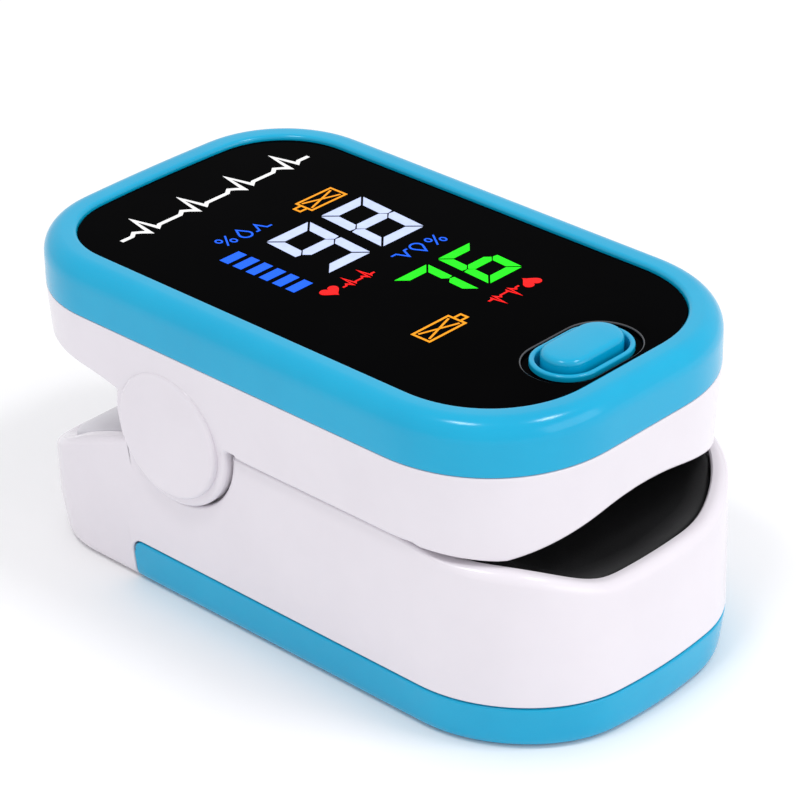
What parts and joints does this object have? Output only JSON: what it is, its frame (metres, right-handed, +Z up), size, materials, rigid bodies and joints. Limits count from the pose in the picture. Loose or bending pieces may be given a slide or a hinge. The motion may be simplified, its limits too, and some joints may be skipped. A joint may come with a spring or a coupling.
{
  "type": "fingertip pulse oximeter",
  "caption": "Clip-on fingertip pulse oximeter: sprung jaws on a cross axle, sunk dark display and pill key on top, soft finger pads and a slide-off cell cover below.",
  "frame": {"origin": "bottom centre of the closed oximeter, on the surface it stands on", "axes": "+Z up, the finger goes in from the -Y end towards +Y, X across the width, parallel to the hinge axle"},
  "size_m": [0.036, 0.0634, 0.0321],
  "materials": {
    "white_casing": "glossy moulded, faint lavender tint",
    "blue_casing": "glossy moulded cyan blue",
    "grey_casing": "satin moulded light grey",
    "black_window": "polished smoked panel",
    "black_silicone": "matt soft moulding",
    "clear_lens": "clear moulding",
    "circuit_board": "solder mask",
    "dark_component": "moulded epoxy",
    "display_body": "moulded display block",
    "light_component": "moulded nylon",
    "steel": "plated spring steel",
    "cell_jacket": "printed foil jacket",
    "flex_film": "amber film with copper tracks",
    "white_mark": "printed or lit mark",
    "lavender_mark": "lit segment",
    "blue_mark": "lit segment",
    "green_mark": "lit segment",
    "red_mark": "lit segment",
    "amber_mark": "lit segment"
  },
  "bodies": {
    "lower_jaw": {"lower_shell": "white_casing", "lower_frame": "grey_casing", "lower_finger_pad": "black_silicone", "sensor_board": "circuit_board", "photodiode": "dark_component", "sensor_window": "clear_lens", "hinge_axle": "steel", "flex_cable": "flex_film", "torsion_spring_left": "steel", "torsion_spring_right": "steel", "battery_left": "cell_jacket", "battery_right": "cell_jacket", "lower_screw_left": "steel", "lower_screw_right": "steel", "battery_bridge_contact": "steel", "battery_front_spring": "steel", "battery_plate_contact": "steel", "battery_rear_spring": "steel"},
    "upper_jaw": {"top_bezel": "blue_casing", "display_window": "black_window", "button_collar": "blue_casing", "display_module": "display_body", "main_board": "circuit_board", "tact_switch": "steel", "microcontroller": "dark_component", "board_connector": "light_component", "upper_shell": "white_casing", "upper_finger_pad": "black_silicone", "emitter_board": "circuit_board", "emitter_window": "clear_lens", "hinge_cap_left": "white_casing", "hinge_cap_right": "white_casing", "upper_screw_left": "steel", "upper_screw_right": "steel"},
    "power_button": {"power_button": "blue_casing"},
    "battery_cover": {"battery_cover": "blue_casing"}
  },
  "joints": [
    {"name": "jaw_hinge", "type": "hinge", "parent": "lower_jaw", "child": "upper_jaw", "pos_m": [0, 0.0103, 0.0182], "axis": [-1, 0, 0], "range_deg": [0, 30], "stiffness_Nm_per_rad": 0.05, "springref_deg": -28.65, "deforming": ["torsion_spring_left", "torsion_spring_right", "flex_cable"]},
    {"name": "button_press", "type": "slide", "parent": "upper_jaw", "child": "power_button", "axis": [0, 0, -1], "range_m": [0, 0.0005], "stiffness_N_per_m": 800, "springref_m": -0.0006},
    {"name": "cover_slide", "type": "slide", "parent": "lower_jaw", "child": "battery_cover", "axis": [0, -1, 0], "range_m": [0, 0.05]}
  ]
}
